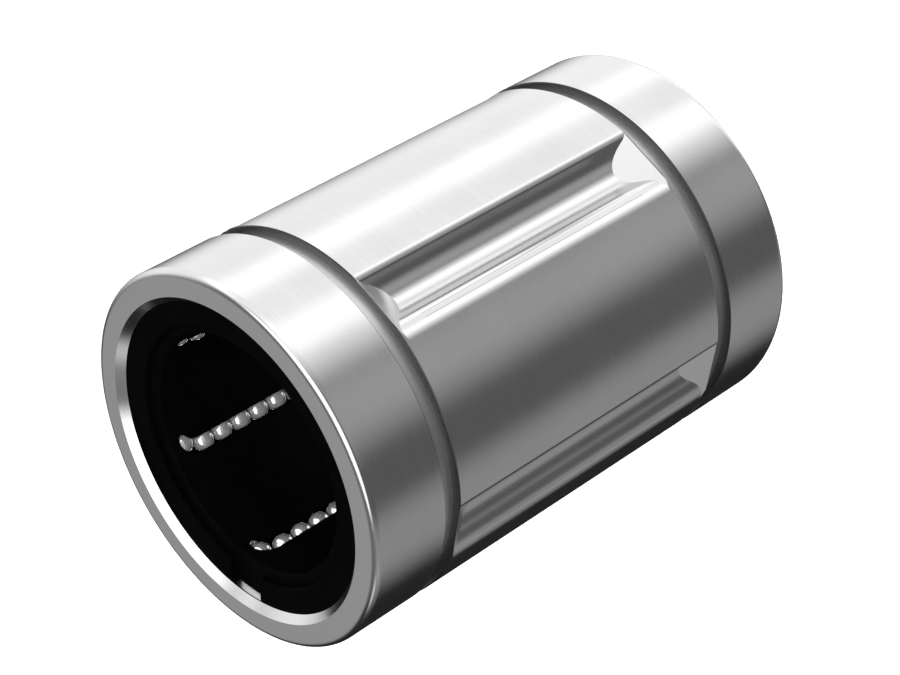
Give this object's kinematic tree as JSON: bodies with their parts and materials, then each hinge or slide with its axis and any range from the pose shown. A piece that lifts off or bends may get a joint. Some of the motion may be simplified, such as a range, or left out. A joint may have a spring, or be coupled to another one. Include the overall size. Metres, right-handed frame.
{
  "type": "linear ball bushing",
  "caption": "Closed linear ball bushing: ground steel sleeve with ring grooves and channels, black cage, snap rings and recirculating steel balls that run on a round shaft.",
  "frame": {"origin": "centre of the lower end face", "axes": "+Z along the bushing's axis, up to the end whose bore shows; +X through the middle of one outer channel"},
  "size_m": [0.04, 0.04, 0.059],
  "materials": {
    "ground_steel": "hardened bearing steel, finely ground",
    "ball_steel": "polished bearing steel",
    "black_ring": "black oxide on spring steel",
    "black_moulding": "satin moulded resin"
  },
  "bodies": {
    "bushing": {"outer_sleeve": "ground_steel", "ball_cage": "black_moulding", "upper_turn_ring": "black_moulding", "lower_turn_ring": "black_moulding", "upper_snap_ring": "black_ring", "lower_snap_ring": "black_ring"},
    "circuit_1_loaded": {"circuit_1_loaded_balls": "ball_steel"},
    "circuit_1_return": {"circuit_1_return_balls": "ball_steel"},
    "circuit_1_upper_turn": {"circuit_1_upper_turn_balls": "ball_steel"},
    "circuit_1_lower_turn": {"circuit_1_lower_turn_balls": "ball_steel"},
    "circuit_2_loaded": {"circuit_2_loaded_balls": "ball_steel"},
    "circuit_2_return": {"circuit_2_return_balls": "ball_steel"},
    "circuit_2_upper_turn": {"circuit_2_upper_turn_balls": "ball_steel"},
    "circuit_2_lower_turn": {"circuit_2_lower_turn_balls": "ball_steel"},
    "circuit_3_loaded": {"circuit_3_loaded_balls": "ball_steel"},
    "circuit_3_return": {"circuit_3_return_balls": "ball_steel"},
    "circuit_3_upper_turn": {"circuit_3_upper_turn_balls": "ball_steel"},
    "circuit_3_lower_turn": {"circuit_3_lower_turn_balls": "ball_steel"},
    "circuit_4_loaded": {"circuit_4_loaded_balls": "ball_steel"},
    "circuit_4_return": {"circuit_4_return_balls": "ball_steel"},
    "circuit_4_upper_turn": {"circuit_4_upper_turn_balls": "ball_steel"},
    "circuit_4_lower_turn": {"circuit_4_lower_turn_balls": "ball_steel"},
    "circuit_5_loaded": {"circuit_5_loaded_balls": "ball_steel"},
    "circuit_5_return": {"circuit_5_return_balls": "ball_steel"},
    "circuit_5_upper_turn": {"circuit_5_upper_turn_balls": "ball_steel"},
    "circuit_5_lower_turn": {"circuit_5_lower_turn_balls": "ball_steel"},
    "circuit_6_loaded": {"circuit_6_loaded_balls": "ball_steel"},
    "circuit_6_return": {"circuit_6_return_balls": "ball_steel"},
    "circuit_6_upper_turn": {"circuit_6_upper_turn_balls": "ball_steel"},
    "circuit_6_lower_turn": {"circuit_6_lower_turn_balls": "ball_steel"}
  },
  "joints": [
    {"name": "circuit_1_loaded_run", "type": "slide", "parent": "bushing", "child": "circuit_1_loaded", "axis": [0, 0, 1], "range_m": [-0.00142, 0.00102]},
    {"name": "circuit_1_return_run", "type": "slide", "parent": "bushing", "child": "circuit_1_return", "axis": [0, 0, 1], "range_m": [-0.00102, 0.00142]},
    {"name": "circuit_1_upper_turn", "type": "hinge", "parent": "bushing", "child": "circuit_1_upper_turn", "pos_m": [0.01381, 0.00192, 0.05391], "axis": [0.9415, 0.337, 0], "range_deg": [-52.37, 37.63]},
    {"name": "circuit_1_lower_turn", "type": "hinge", "parent": "bushing", "child": "circuit_1_lower_turn", "pos_m": [0.01381, 0.00192, 0.00509], "axis": [0.9415, 0.337, 0], "range_deg": [-52.37, 37.63]},
    {"name": "circuit_2_loaded_run", "type": "slide", "parent": "bushing", "child": "circuit_2_loaded", "axis": [0, 0, 1], "range_m": [-0.00142, 0.00102]},
    {"name": "circuit_2_return_run", "type": "slide", "parent": "bushing", "child": "circuit_2_return", "axis": [0, 0, 1], "range_m": [-0.00102, 0.00142]},
    {"name": "circuit_2_upper_turn", "type": "hinge", "parent": "bushing", "child": "circuit_2_upper_turn", "pos_m": [0.00524, 0.01291, 0.05391], "axis": [0.1789, 0.9839, 0], "range_deg": [-52.37, 37.63]},
    {"name": "circuit_2_lower_turn", "type": "hinge", "parent": "bushing", "child": "circuit_2_lower_turn", "pos_m": [0.00524, 0.01291, 0.00509], "axis": [0.1789, 0.9839, 0], "range_deg": [-52.37, 37.63]},
    {"name": "circuit_3_loaded_run", "type": "slide", "parent": "bushing", "child": "circuit_3_loaded", "axis": [0, 0, 1], "range_m": [-0.00142, 0.00102]},
    {"name": "circuit_3_return_run", "type": "slide", "parent": "bushing", "child": "circuit_3_return", "axis": [0, 0, 1], "range_m": [-0.00102, 0.00142]},
    {"name": "circuit_3_upper_turn", "type": "hinge", "parent": "bushing", "child": "circuit_3_upper_turn", "pos_m": [-0.00856, 0.011, 0.05391], "axis": [-0.7626, 0.6468, 0], "range_deg": [-52.37, 37.63]},
    {"name": "circuit_3_lower_turn", "type": "hinge", "parent": "bushing", "child": "circuit_3_lower_turn", "pos_m": [-0.00856, 0.011, 0.00509], "axis": [-0.7626, 0.6468, 0], "range_deg": [-52.37, 37.63]},
    {"name": "circuit_4_loaded_run", "type": "slide", "parent": "bushing", "child": "circuit_4_loaded", "axis": [0, 0, 1], "range_m": [-0.00142, 0.00102]},
    {"name": "circuit_4_return_run", "type": "slide", "parent": "bushing", "child": "circuit_4_return", "axis": [0, 0, 1], "range_m": [-0.00102, 0.00142]},
    {"name": "circuit_4_upper_turn", "type": "hinge", "parent": "bushing", "child": "circuit_4_upper_turn", "pos_m": [-0.01381, -0.00192, 0.05391], "axis": [-0.9415, -0.337, 0], "range_deg": [-52.37, 37.63]},
    {"name": "circuit_4_lower_turn", "type": "hinge", "parent": "bushing", "child": "circuit_4_lower_turn", "pos_m": [-0.01381, -0.00192, 0.00509], "axis": [-0.9415, -0.337, 0], "range_deg": [-52.37, 37.63]},
    {"name": "circuit_5_loaded_run", "type": "slide", "parent": "bushing", "child": "circuit_5_loaded", "axis": [0, 0, 1], "range_m": [-0.00142, 0.00102]},
    {"name": "circuit_5_return_run", "type": "slide", "parent": "bushing", "child": "circuit_5_return", "axis": [0, 0, 1], "range_m": [-0.00102, 0.00142]},
    {"name": "circuit_5_upper_turn", "type": "hinge", "parent": "bushing", "child": "circuit_5_upper_turn", "pos_m": [-0.00524, -0.01291, 0.05391], "axis": [-0.1789, -0.9839, 0], "range_deg": [-52.37, 37.63]},
    {"name": "circuit_5_lower_turn", "type": "hinge", "parent": "bushing", "child": "circuit_5_lower_turn", "pos_m": [-0.00524, -0.01291, 0.00509], "axis": [-0.1789, -0.9839, 0], "range_deg": [-52.37, 37.63]},
    {"name": "circuit_6_loaded_run", "type": "slide", "parent": "bushing", "child": "circuit_6_loaded", "axis": [0, 0, 1], "range_m": [-0.00142, 0.00102]},
    {"name": "circuit_6_return_run", "type": "slide", "parent": "bushing", "child": "circuit_6_return", "axis": [0, 0, 1], "range_m": [-0.00102, 0.00142]},
    {"name": "circuit_6_upper_turn", "type": "hinge", "parent": "bushing", "child": "circuit_6_upper_turn", "pos_m": [0.00856, -0.011, 0.05391], "axis": [0.7626, -0.6468, 0], "range_deg": [-52.37, 37.63]},
    {"name": "circuit_6_lower_turn", "type": "hinge", "parent": "bushing", "child": "circuit_6_lower_turn", "pos_m": [0.00856, -0.011, 0.00509], "axis": [0.7626, -0.6468, 0], "range_deg": [-52.37, 37.63]}
  ],
  "couplings": [
    {"joint": "circuit_1_return_run", "follows": "circuit_1_loaded_run", "ratio": -1},
    {"joint": "circuit_1_upper_turn", "follows": "circuit_1_loaded_run", "rad_per_m": 643.51},
    {"joint": "circuit_1_lower_turn", "follows": "circuit_1_loaded_run", "rad_per_m": 643.51},
    {"joint": "circuit_2_return_run", "follows": "circuit_2_loaded_run", "ratio": -1},
    {"joint": "circuit_2_upper_turn", "follows": "circuit_2_loaded_run", "rad_per_m": 643.51},
    {"joint": "circuit_2_lower_turn", "follows": "circuit_2_loaded_run", "rad_per_m": 643.51},
    {"joint": "circuit_3_return_run", "follows": "circuit_3_loaded_run", "ratio": -1},
    {"joint": "circuit_3_upper_turn", "follows": "circuit_3_loaded_run", "rad_per_m": 643.51},
    {"joint": "circuit_3_lower_turn", "follows": "circuit_3_loaded_run", "rad_per_m": 643.51},
    {"joint": "circuit_4_return_run", "follows": "circuit_4_loaded_run", "ratio": -1},
    {"joint": "circuit_4_upper_turn", "follows": "circuit_4_loaded_run", "rad_per_m": 643.51},
    {"joint": "circuit_4_lower_turn", "follows": "circuit_4_loaded_run", "rad_per_m": 643.51},
    {"joint": "circuit_5_return_run", "follows": "circuit_5_loaded_run", "ratio": -1},
    {"joint": "circuit_5_upper_turn", "follows": "circuit_5_loaded_run", "rad_per_m": 643.51},
    {"joint": "circuit_5_lower_turn", "follows": "circuit_5_loaded_run", "rad_per_m": 643.51},
    {"joint": "circuit_6_return_run", "follows": "circuit_6_loaded_run", "ratio": -1},
    {"joint": "circuit_6_upper_turn", "follows": "circuit_6_loaded_run", "rad_per_m": 643.51},
    {"joint": "circuit_6_lower_turn", "follows": "circuit_6_loaded_run", "rad_per_m": 643.51}
  ]
}
